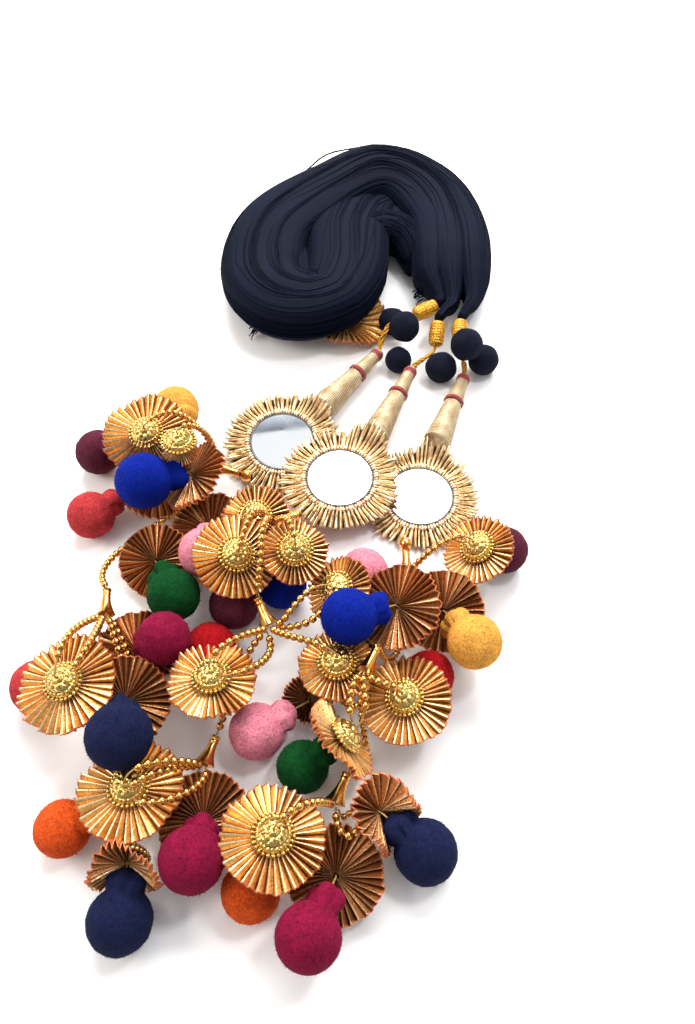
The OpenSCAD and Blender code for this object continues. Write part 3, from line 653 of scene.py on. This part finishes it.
grids = []
for i, (neck, mouth) in enumerate(BELLS):
    length = np.linalg.norm(mouth - neck)
    s = np.concatenate([np.linspace(0, 0.3, 9), np.linspace(0.4, 1, 8)])
    outer = 1.35 + 1.9 * s ** 2.6 + 0.4 * swell(s, 0.04, 0.04) + 0.2 * swell(s, 0.19, 0.03)
    profile = np.vstack([np.stack([outer, s * length], 1), np.stack([0.9 + 1.9 * s ** 2.6, s * length], 1)[::-1]])
    grids.append(turned(profile, neck, mouth, 24, True,
                        lambda t, z: 0.3 * np.cos(4 * t) * np.clip(z / length - 0.5, 0, 1) * 2))
    if i in BIG_BEADS:
        way = unit(mouth - neck)
        grids.append(bead(neck - way * 2.8, way, 5, 24, 17))
piece_of("brass_bells", grids, [gilt], ["bells"], sharp=50)

# Pleated flowers. Gold tissue ribbon is folded into knife pleats and drawn up at the middle into
# a rosette. The front has the metal thread on it, and the rim is a copper selvedge.
# name: ball, its radius, hub, radius, tilt, turn, cup, bend, sag, bell, string's two points, kind of beads,
# and any points that its thread passes behind the hub
FLOWERS = {
    "maroon_1": ([-77, -2, 9], 9, [-53, -7, 27], 16.5, 12, 280, 0, 0, 40, 0, [-32, 5, 16], [-40, -2, 47], 2),
    "yellow_1": ([-48, 20, 9.5], 9.5, [-39, -15, 31.5], 8, 5, 60, 50, 0, 0, 0, [-27, -2, 24], [-34, -13, 46], 2,
                 [-38, -14.5, 23.5], [-34, -7.5, 23]),
    "blue_1": ([-52, -27, 25], 10.5, [-36, -20, 19], 14.5, 150, 0, 0, 0, 0, 0, [-34, -18, 12], [-27, -22, 6], 2),
    "coral_1": ([-75, -32, 9], 9, [-52, -15, 8.5], 16, 175, 90, 0, 0, 0, 0, [-36, -6, 2], [-42, -10, 1], 2),
    "green_1": ([-37.5, -70, 16.8], 9.4, [-47, -53, 10], 13.6, 155, 90, 0, 0, 0, 0, [-32, -14, -2], [-40, -40, 1], 2),
    "coral_2": ([-82, -101, 9], 9, [-66.5, -106, 26], 16, 10, 200, 5, 0, 0, 1, [-64, -84, 26], [-66, -96, 44], 1),
    "navy_1": ([-46, -124, 29], 10.3, [-49, -109, 17], 14.5, 160, 90, 0, 0, 0, 1, [-55, -84, 16], [-48, -94, 8], 1),
    "magenta_1": ([-38, -88.4, 21], 9, [-50, -88, 8.8], 14.5, 175, 90, 0, 0, 0, 1, [-68, -82, 6], [-60, -90, 1], 2),
    "pink_1": ([-28, -54, 19], 9, [-28, -39, 9], 15, 168, 90, 0, 0, 0, 2, [-2, -60, 16], [-8, -54, -3], 2),
    "maroon_2": ([-17, -70, 9], 9, [-15, -59.5, 26.5], 15, 20, 315, 6, 0, 0, 2, [-9, -40.5, 36], [-10, -56, 44], 2),
    "yellow_3": ([-2, -38, 8.5], 8.5, [-10, -40, 19.5], 12.5, 15, 250, 0, 0, 30, 2, [-7, -43, 27], [-11, -43, 33], 2),
    "blue_2": ([0, -62, 9], 9, [5.5, -58.5, 28], 11.6, 12, 300, 6, 0, 0, 2, [3, -48, 37], [5, -55, 44], 2),
    "red_1": ([-24, -87, 9], 9, [-20, -104, 24], 14, 12, 90, 3, 0, 0, 3, [-6, -90, 30], [-18, -98, 42], 1),
    "pink_2": ([30, -57, 9], 9, [21, -69.5, 19.5], 12, 30, 200, 0, 0, 0, 3, [4, -86, 26], [8, -74, 34], 1),
    "green_3": ([34, -76, 8], 8, [20.5, -97.5, 20.5], 12.5, 3, 90, 3, 0, 0, 3, [2, -92, 30], [16, -96, 38], 1),
    "orange_1": ([-65, -147, 8.7], 8.7, [-43, -137.5, 19], 16, 8, 90, 3, 0, 0, 4, [-22, -130, 24], [-38, -132, 38], 1),
    "navy_2": ([-43, -173, 10], 9.7, [-42, -158, 14], 12.3, 108, 90, 20, -15, 0, 4, [-28, -136, 8], [-42, -142, 4], 1),
    "magenta_2": ([-22, -157.5, 18.5], 9.8, [-21, -145, 9.5], 15, 160, 90, 0, 0, 0, 4,
                  [-18, -134, 6], [-18, -134, 2], 2),
    "maroon_3": ([83, -47.5, 9], 8.8, [72, -51.1, 16], 13.2, 25, 180, 0, 0, 0, 5, [50, -58, 24], [62, -52, 34], 1),
    "blue_3": ([24.5, -84.5, 30], 9.4, [41, -78, 24], 15, 155, 20, 0, 0, 0, 5, [40, -64, 8], [41, -76, 14], 2),
    "yellow_2": ([67, -89, 19.5], 9.3, [58, -74, 12], 14.5, 155, 90, 0, 0, 0, 5, [52, -60, 4], [58, -64, 1], 2),
    "red_2": ([52, -97, 8.7], 8.7, [43, -108.5, 18], 15, 15, 180, 5, 0, 0, 6, [31, -108, 32], [38, -109, 35], 1),
    "green_2": ([9.5, -128, 9], 8.5, [22, -122, 19], 13.5, 60, 30, 0, 0, 0, 6, [27.5, -107.5, 32], [32, -114, 30], 1),
    "pink_3": ([-6, -116.5, 9.3], 9.3, [10.8, -105.5, 9.5], 8.4, 135, 90, 0, 0, 0, 6, [27, -124, 22], [21, -96, 2], 2),
    "orange_2": ([-5, -165, 9], 9, [2, -152, 23], 15.5, 10, 45, 5, 0, 0, 7, [18, -142, 28], [8, -146, 42], 1),
    "magenta_3": ([13, -178, 19], 9.5, [20.5, -161, 11], 14.5, 160, 90, 0, 0, 0, 7, [20, -147, 6], [22, -148, 2], 2),
    "navy_3": ([48, -154, 10], 9.8, [34, -143, 13], 13, 128, 140, 25, -30, 0, 7, [24, -148, 8], [26, -136, 5], 2),
}

tissue, tree, p = finish_of("tissue_ribbon", "#b87628", 0.34, 0.75)
streak, gold = streaked(tree, p, "#b4722e", "#f2ba66", 110.0, 52.0, 0.1, 0.6)
crinkle = noise(tree, 750.0, 3.0, 0.65)
tree.links.new(ranged(tree, crinkle, 0.3, 0.7, 0.2, 0.5), p.inputs["Roughness"])
raised(tree, p, figured(tree, "ADD", crinkle, streak), 0.22, 0.8)
gold = mixed(tree, ranged(tree, noise(tree, 45.0, 1.0), 0.4, 0.65, 0.0, 0.45), gold, "#fbd389")
copper = mixed(tree, streak, "#884c24", "#c98650")
tone = mixed(tree, marked(tree, "front"), copper, gold)
# painted shade and highlight: low in each pleat, on the side that is seen, the ribbon is coloured dark brown, and on
# the ridge tops pale
height = marked(tree, "height")
tone = mixed(tree, ranged(tree, height, 0.0, 0.3), "#5c300f", tone)
mixed(tree, ranged(tree, height, 0.8, 0.98, 0.0, 0.8), tone, "#ffe4b4", p)
selvedge, tree, p = finish_of("selvedge_thread", "#c4653a", 0.5, 0.35)
streaked(tree, p, "#a04a22", "#e08a58", 6.0, 300.0, 0.06)

PLEATS = 36
# one pleat from groove to groove: share of its width, height from 0 to 1
PLEAT = np.array([[0, 0], [0.2, 1], [0.38, 0.93], [0.84, 0.28]])


def rosette(hub, radius, tilt, turn, cup, bend, sag):
    """A pleated disc: along each spoke the sheet goes out by the distance times the cosine of its droop and
    down by the sine. Droop is cup, plus bend times the cosine of twice the angle, plus sag on the side it
    leans to, plus a slow random wave. The pleats' height grows with the distance, and a thread follows the rim."""
    uneven = chance.uniform(-0.14, 0.14, (PLEATS, 1))
    t = (np.arange(PLEATS)[:, None] + PLEAT[:, 0] + uneven).ravel() / PLEATS * 2 * np.pi
    tall = chance.uniform(0.7, 1.25, (PLEATS, 1))
    tall = tall + 0.3 * np.sin(np.arange(PLEATS) * 0.7 + chance.uniform(0, 6))[:, None]
    lift = ((PLEAT[:, 1] - 0.5) * tall).ravel()
    level = np.tile(PLEAT[:, 1], PLEATS)
    far = np.linspace(0, 1, 7)[:, None]
    span = radius + np.repeat(chance.uniform(-0.45, 0.35, PLEATS), len(PLEAT)) - 1.0
    drop = np.radians(cup + bend * np.cos(2 * t) + sag * np.maximum(0, np.cos(t)))
    drop = drop + (0.07 * np.sin(3 * t + chance.uniform(0, 6)) + 0.06 * np.sin(5 * t + chance.uniform(0, 6))) * far
    span = span + 0.5 * (level - 0.5)
    layers = []
    for skin in (SKIN, -SKIN):
        h = lift * 2.1 * (0.3 + 0.7 * far) + skin
        q = 1.0 + span * far * np.cos(drop) + h * np.sin(drop)
        z = h * np.cos(drop) - span * far * np.sin(drop)
        layers.append(np.stack([q * np.cos(t), q * np.sin(t), z], -1))
    place = facing_turn(tilt, turn).T
    grid = np.concatenate([layers[0], layers[1][::-1]]) @ place + hub
    rim = (layers[0][-1] + layers[1][-1]) / 2
    rim = np.stack([rim, (rim + np.roll(rim, -1, 0)) / 2], 1).reshape(-1, 3)
    rim = rim * (1 + 0.012 * np.sin(2.4 * np.arange(len(rim))))[:, None] @ place + hub
    ahead = unit(np.roll(rim, -1, 0) - np.roll(rim, 1, 0))
    side = unit(np.cross(ahead, place[2]))
    a = angles(4)[None, :, None]
    thread = rim[:, None] + 0.26 * (np.cos(a) * side[:, None] + np.sin(a) * np.cross(ahead, side)[:, None])
    for part in (grid, thread):
        part[..., 2] = np.maximum(part[..., 2], OFF_TABLE)
    front = np.repeat([[1.0], [0.0]], len(far), 0) * np.ones_like(t)
    # height of the pleat on the side that is seen: it paints shade in the grooves and a highlight on the ridges
    tags = {"front": front, "height": np.where(front > 0, level, 1 - level)}
    return [(grid, True, True, tags), (thread, True, True, {"finish": 1})]


def shared_out(counts):
    """Each node's name with its share of the flowers, which are taken in order."""
    rows = iter(FLOWERS.values())
    return [(name, [next(rows) for _ in range(count)]) for name, count in counts.items()]


for name, rows in shared_out({
    "fans_left_top": 5, "fans_left_end": 3, "fans_middle_top": 4, "fans_middle_mid": 3,
    "fans_middle_end": 3, "fans_right_top": 3, "fans_right_mid": 3, "fans_right_end": 3,
}):
    grids = sum((rosette(*row[2:9]) for row in rows), [])
    piece_of(name + "_ribbon", grids, [tissue, selvedge], [name], sharp=30)
grids = rosette([23, 77, 3.2], 18.5, 6, 135, -8, 12, 0)
piece_of("hank_rosette", grids, [tissue, selvedge], ["hank_fan"], sharp=30)

# Caps. A pressed filigree dome covers the middle of each flower: a rim of small beads, a ring of
# round dots with openings between them, and a raised boss. Its hollows are painted in shade.
filigree, tree, p = finish_of("filigree", "#dcb24c", 0.22, 0.95)
bright = mixed(tree, noise(tree, 900.0, 3.0), "#bf8a30", "#fae090")
# painted shade: the deep values colour the recesses dark brown
mixed(tree, marked(tree, "deep"), bright, "#5a3a0c", p)
raised(tree, p, cells(tree, 1100.0), 0.22, 0.8, invert=True)
# in millimetres: the dome's radius and height, and half the width of its arc at the foot
DOME, DOME_HIGH, DOME_FOOT = 5.3, 4.0, 5.8


def cap(hub, tilt, turn):
    """A dome: its height is a circle's arc, plus a ring of ten round dots with small openings between
    them, a ring-shaped boss in the middle, and a milled rim. A string of 26 small beads lies round it: a
    ring whose thickness goes as the sine of 13 times the angle."""
    t = angles(96)
    s = np.concatenate([[0, 0.08], np.linspace(0.16, 1, 16), [1.07, 1.03, 0.9, 0.0]])[:, None]
    rim = int(np.argmax(s))
    arc = (DOME_FOOT ** 2 + DOME_HIGH ** 2) / (2 * DOME_HIGH)
    top = np.sqrt(arc ** 2 - (DOME * np.minimum(s, 1)) ** 2) - (arc - DOME_HIGH)
    dot = np.clip(np.cos(10 * t), 0, 1) * swell(s, 0.58, 0.12)
    milled = np.abs(np.cos(12 * t)) * swell(s, 0.93, 0.07)
    between = np.clip(-np.cos(10 * t), 0, 1) ** 4 * swell(s, 0.6, 0.08)
    # painted shade: high in the grooves and in the openings between the dots, and under the rim below
    deep = np.clip(0.7 * swell(s, 0.37, 0.05) + 0.8 * swell(s, 0.82, 0.035) + between, 0, 1)
    z = top + 0.4 * dot + 0.55 * milled + 0.5 * swell(s, 0.17, 0.1) - 0.3 * deep
    z[rim] = 0.35
    z[rim + 1:], deep[rim + 1:] = top[rim + 1:] - 0.55, 0.8
    r = DOME * s * np.ones_like(t) + 0.25 * milled
    dome = np.stack([r * np.cos(t), r * np.sin(t), z + 0.1], -1)
    a, n = angles(104), angles(6)[:, None]
    thick = 0.18 + 0.52 * np.abs(np.sin(13 * a))
    out = 6.1 + thick * np.cos(n)
    pearls = np.stack([out * np.cos(a), out * np.sin(a), 0.2 + thick * np.sin(n)], -1)
    place = facing_turn(tilt, turn)
    foot = hub + place @ [0, 0, 1.9]
    # the deep values paint shade under the rim and in the gaps between the beads of the string
    return [(dome @ place.T + foot, False, True, {"deep": deep}),
            (pearls @ place.T + foot, True, True, {"deep": 0.9 - 1.3 * thick * np.ones_like(n)})]


for name, rows in shared_out({"caps_left": 8, "caps_middle": 10, "caps_right": 9}):
    grids = sum((cap(row[2], *row[4:6]) for row in rows), [])
    piece_of(name + "_filigree", grids, [filigree], [name], sharp=60)

# Bead strings. Round brass beads are strung close together from each bell to its flowers and on
# to the next bell. The thread goes on through cap and flower into the pompom's tuft.
# from bell, its two points, to bell, kind of beads
LINKS = [
    (0, [-36, -28, 1.5], [-80, -46, 2], 1, 1), (2, [-6.5, -48, 41], [-4, -68, 40], 3, 1),
    (3, [-14, -90, 8], [-16, -108, 10], 4, 1), (5, [48, -80, -2], [38, -98, 6], 6, 2),
    (6, [24, -116, 24], [38, -124, -17], 7, 2)]
# slack strands beside them: from bell, its two points, where it ends on a cap or a flower
SLACK = [
    (1, [-59, -88, 28], [-57, -99, 38], [-63.5, -104.5, 32.5]), (1, [-55, -86, 22], [-53, -94, 16], [-50, -99, 11.5]),
    (3, [2, -94, 16], [-6, -106, 36], [-15.5, -105, 30]), (3, [6, -87, 24], [16, -86, 27], [18.5, -72.5, 25.5]),
    (4, [-27, -131, 22], [-37, -137, 36], [-41, -139.5, 27]), (4, [-18, -139, 20], [-34, -147, 34], [-39.5, -142, 26]),
    (6, [24.5, -108, 31], [24, -116, 32], [25.5, -118.5, 25.5]), (7, [20, -154, 20], [28, -154, 20], [29, -141, 9.5])]
# step and size of each kind of bead, and the bare thread behind a bell
BEADS = {1: (2.8, 2.7), 2: (2.5, 2.3)}
GAP = 2.2
STRAND_OF = ["beads_left"] * 2 + ["beads_middle"] * 3 + ["beads_right"] * 3


def leaving(b, towards):
    """Where a thread leaves a bell: just past the mouth, near its edge on the side that it is led to."""
    neck, mouth = BELLS[b]
    way = unit(mouth - neck)
    aside = towards - mouth
    return mouth + 1.2 * way + 1.9 * unit(aside - (aside @ way) * way)


def strung(corners, bare, kind):
    """Beads at equal steps of length along a curve, leaving the gap at its start and bare thread at its end."""
    step, size = BEADS[kind]
    t = np.linspace(0, 1, 200)
    line = bezier(corners, t)
    run = np.concatenate([[0], np.cumsum(np.linalg.norm(np.diff(line, axis=0), axis=1))])
    count = int((run[-1] - GAP - bare) // step)
    at = np.interp(GAP + step * (np.arange(count) + 0.5), run, t)
    ahead = unit(bezier(corners, at + 0.01) - bezier(corners, at - 0.01))
    middles = np.maximum(bezier(corners, at), [-999, -999, size / 2 + 0.1])
    return [bead(m, w, size) for m, w in zip(middles, ahead)]


stringing, tree, p = finish_of("stringing_thread", "#b98440", 0.45, 0.5)
streaked(tree, p, "#7a4a1e", "#e8c079", 14.0, 160.0, 0.1)
threads, beads = [], {strand: [] for strand in STRAND_OF}
for ball, ball_r, hub, _, tilt, turn, _, _, _, b, first, second, kind, *guide in FLOWERS.values():
    face = facing_turn(tilt, turn)[:, 2]
    corners = [leaving(b, first), first, second, hub + face * 7.5]
    beads[STRAND_OF[b]] += strung(corners, 1.5 if kind == 2 else 9 if face[2] < -0.7 else 3.5, kind)
    back = hub - face * 1.8
    tip = ball + unit(np.subtract(guide[-1] if guide else back, ball)) * (ball_r + 2.6)
    way = [bezier(corners, np.linspace(0, 1, 26)), hub + face * 2, back, *guide, tip]
    threads.append(tube(np.vstack(way), 0.33, 6))
arriving = BELLS[:, 0] - 0.6 * unit(BELLS[:, 1] - BELLS[:, 0])
links = [(b, first, second, arriving[to], kind) for b, first, second, to, kind in LINKS]
for b, first, second, end, kind in links + [(*strand, 1) for strand in SLACK]:
    corners = [leaving(b, first), first, second, end]
    beads[STRAND_OF[b]] += strung(corners, 1, kind)
    threads.append(tube(bezier(corners, np.linspace(0, 1, 30)), 0.33, 6))
for name, grids in beads.items():
    piece_of(name + "_brass", grids, [gilt], [name], sharp=50)
piece_of("stringing", threads, [stringing], ["threads"])

# Pompoms. Each is wool yarn wound into a tight ball, brushed until it felts, with a second small
# lumpy knot of yarn where the thread ties it.
felt, given, made = group_of(
    "felt", {"Vector": "Vector", "Colour": "Color"}, {"Colour": "Color", "Height": "Float"})
at = given.outputs["Vector"]
wave = {"Vector": at, "Scale": 480.0, "Distortion": 22.0, "Detail": 2.0, "Detail Scale": 0.2}
yarn = figured(felt, "MULTIPLY", shader_node(felt, "TexWave", wave).outputs["Fac"], 0.06)
height = figured(felt, "ADD", yarn, noise(felt, 1200.0, 4.0, 0.75, at))
clumps = figured(felt, "MULTIPLY", noise(felt, 240.0, 3.0, at=at), 0.3)
level = ranged(felt, figured(felt, "ADD", height, clumps), 0.45, 0.9, 0.3, 0.98)
tint = shader_node(felt, "VectorMath", {0: given.outputs["Colour"], "Scale": level}, operation="SCALE")
felt.links.new(tint.outputs[0], made.inputs["Colour"])
felt.links.new(height, made.inputs["Height"])


def wool(name, colour):
    """Felted wool of one colour: the felt group's shaded colour and its fluff as a bump, with a soft sheen."""
    m, tree, p = finish_of(name, colour, 0.95, Sheen_Weight=0.2, Sheen_Roughness=0.4, Specular_IOR_Level=0.1)
    p.inputs["Sheen Tint"].default_value = linear(colour)
    inputs = {"Vector": shader_node(tree, "TexCoord").outputs["Object"], "Colour": linear(colour)}
    g = shader_node(tree, "Group", inputs, node_tree=felt)
    tree.links.new(g.outputs["Colour"], p.inputs["Base Color"])
    raised(tree, p, g.outputs["Height"], 0.4, 0.9)
    return m


RINGS, SPOKES, FIBRES = 48, 64, 1000
# lobes of the tuft: round its thread, and all of them with those on the thread
OUTER_LOBES, LOBES = 9, 11


def directions(rings, spokes, power=1.0):
    """Angles from the pole, closer together near it for a power above 1, and the unit directions at them
    and at even steps round it."""
    th = np.linspace(0, np.pi, rings)[:, None] ** power / np.pi ** (power - 1)
    ph = angles(spokes)
    return th, np.stack([np.sin(th) * np.cos(ph), np.sin(th) * np.sin(ph), np.cos(th) * np.ones_like(ph)], -1)


def pompom(ball, ball_r, source):
    """A ball whose distance from its middle is its radius with small lumps; towards the thread it is the
    largest of the ball and of eleven round lobes, met by rays from the middle and softly joined. Short
    fibres stand out of it: at random points, a blade along the surface's way out with a random lean."""
    axis = np.subtract(source, ball)
    room = np.clip((np.linalg.norm(axis) - ball_r) / 7.0, 0.45, 1.0)
    axis = unit(axis)
    tilt, turn = np.degrees(np.arccos(axis[2])), np.degrees(np.arctan2(axis[1], axis[0]))
    th, d = directions(RINGS, SPOKES, 1.25)
    k = chance.uniform(0, 6, 9)
    x, y, z = np.moveaxis(d, -1, 0)
    lumps = sum(np.sin(w * x + k[0] + s) * np.sin(w * y + k[1] + s) * np.sin(w * z + k[2] - s)
                for w, s in ((4, 0), (7, 2), (11, 4)))
    stack = [ball_r * (1 + 0.01 * lumps)]
    for i in range(LOBES):
        outer = i < OUTER_LOBES
        a = np.radians(40 * i + 17) + chance.uniform(-0.3, 0.3)
        off = chance.uniform(0.3, 0.4) * ball_r * outer
        size = ball_r * (chance.uniform(0.2, 0.34) if outer else 0.38)
        away = chance.uniform(0.0, 0.26) if outer else 0.2 * (i - OUTER_LOBES)
        c = np.array([off * np.cos(a), off * np.sin(a), ball_r * (1 + room * away)])
        along = d @ c
        inside = along ** 2 - c @ c + size ** 2
        stack.append(np.where((inside > 0) & (along > 0), along + np.sqrt(np.maximum(inside, 0)), 0))
    r = np.log(sum(np.exp(3.0 * (s - ball_r)) for s in stack)) / 3.0 + ball_r
    r = r + chance.normal(0, 0.03, r.shape) * np.sin(th)
    grid = (d * r[..., None]) @ facing_turn(tilt, turn).T + ball
    grid[..., 2] = np.maximum(grid[..., 2], 0.02)
    area = (np.sin(th) * np.gradient(th, axis=0)).ravel()
    i, j = chance.choice(RINGS, FIBRES, p=area / area.sum()), chance.integers(0, SPOKES, FIBRES)
    at, out = grid[i, j], unit(grid[i, j] - ball)
    lean = unit(np.cross(out, chance.normal(0, 1, (FIBRES, 3))))
    out = unit(out + lean * chance.uniform(0.2, 2.2, (FIBRES, 1))) * chance.uniform(0.35, 0.8, (FIBRES, 1))
    side = unit(np.cross(out, lean + out))
    at = at + chance.uniform(-0.4, 0.4, (FIBRES, 1)) * side
    ends = [np.stack([p - half * side, p + half * side], 1) for p, half in ((at, 0.07), (at + out, 0.02))]
    blades = np.stack(ends, 1)
    blades[..., 2] = np.maximum(blades[..., 2], 0.02)
    return [(grid, False, True, {}), (blades, False, False, {})]


COLOURS = {
    "maroon": "#62273b", "yellow": "#fdb350", "blue": "#06249a", "coral": "#c93f42", "green": "#0b4a20",
    "navy": "#1a2146", "magenta": "#8e143d", "pink": "#ff98ac", "red": "#b3141c", "orange": "#ea5a22"}
WOOLS = {word: wool("wool_" + word, code) for word, code in COLOURS.items()}
for name, row in FLOWERS.items():
    ball, ball_r, hub, _, tilt, turn = row[:6]
    source = row[-1] if len(row) > 13 else hub - facing_turn(tilt, turn)[:, 2] * 1.8
    word = name.rsplit("_", 1)[0]
    piece_of("ball_" + name, pompom(ball, ball_r, source), [WOOLS[word]], ["pompom_" + name])

# Black pompoms. Six smaller balls of the hank's own yarn hang at the tie.
BLACK_BALLS = [
    ([49, 61.5, 15.5], 6.7), ([44.5, 74, 6.2], 6.2), ([46.5, 50.8, 5.8], 5.8),
    ([65, 45.5, 6.8], 6.8), ([75, 48, 18.5], 6.9), ([84, 50, 6.8], 6.8)]
_, d = directions(30, 44)
x, y, z = np.moveaxis(d, -1, 0)
grids = []
for ball, r in BLACK_BALLS:
    k = chance.uniform(0, 6, 3)
    lumps = np.sin(5 * x + k[0]) * np.sin(5 * y + k[1]) * np.sin(4 * z + k[2])
    grids.append((d * (r * (1 + 0.03 * lumps))[..., None] + ball, False, True, {}))
piece_of("black_balls", grids, [wool("wool_black", "#191c2e")], ["black_pompoms"])
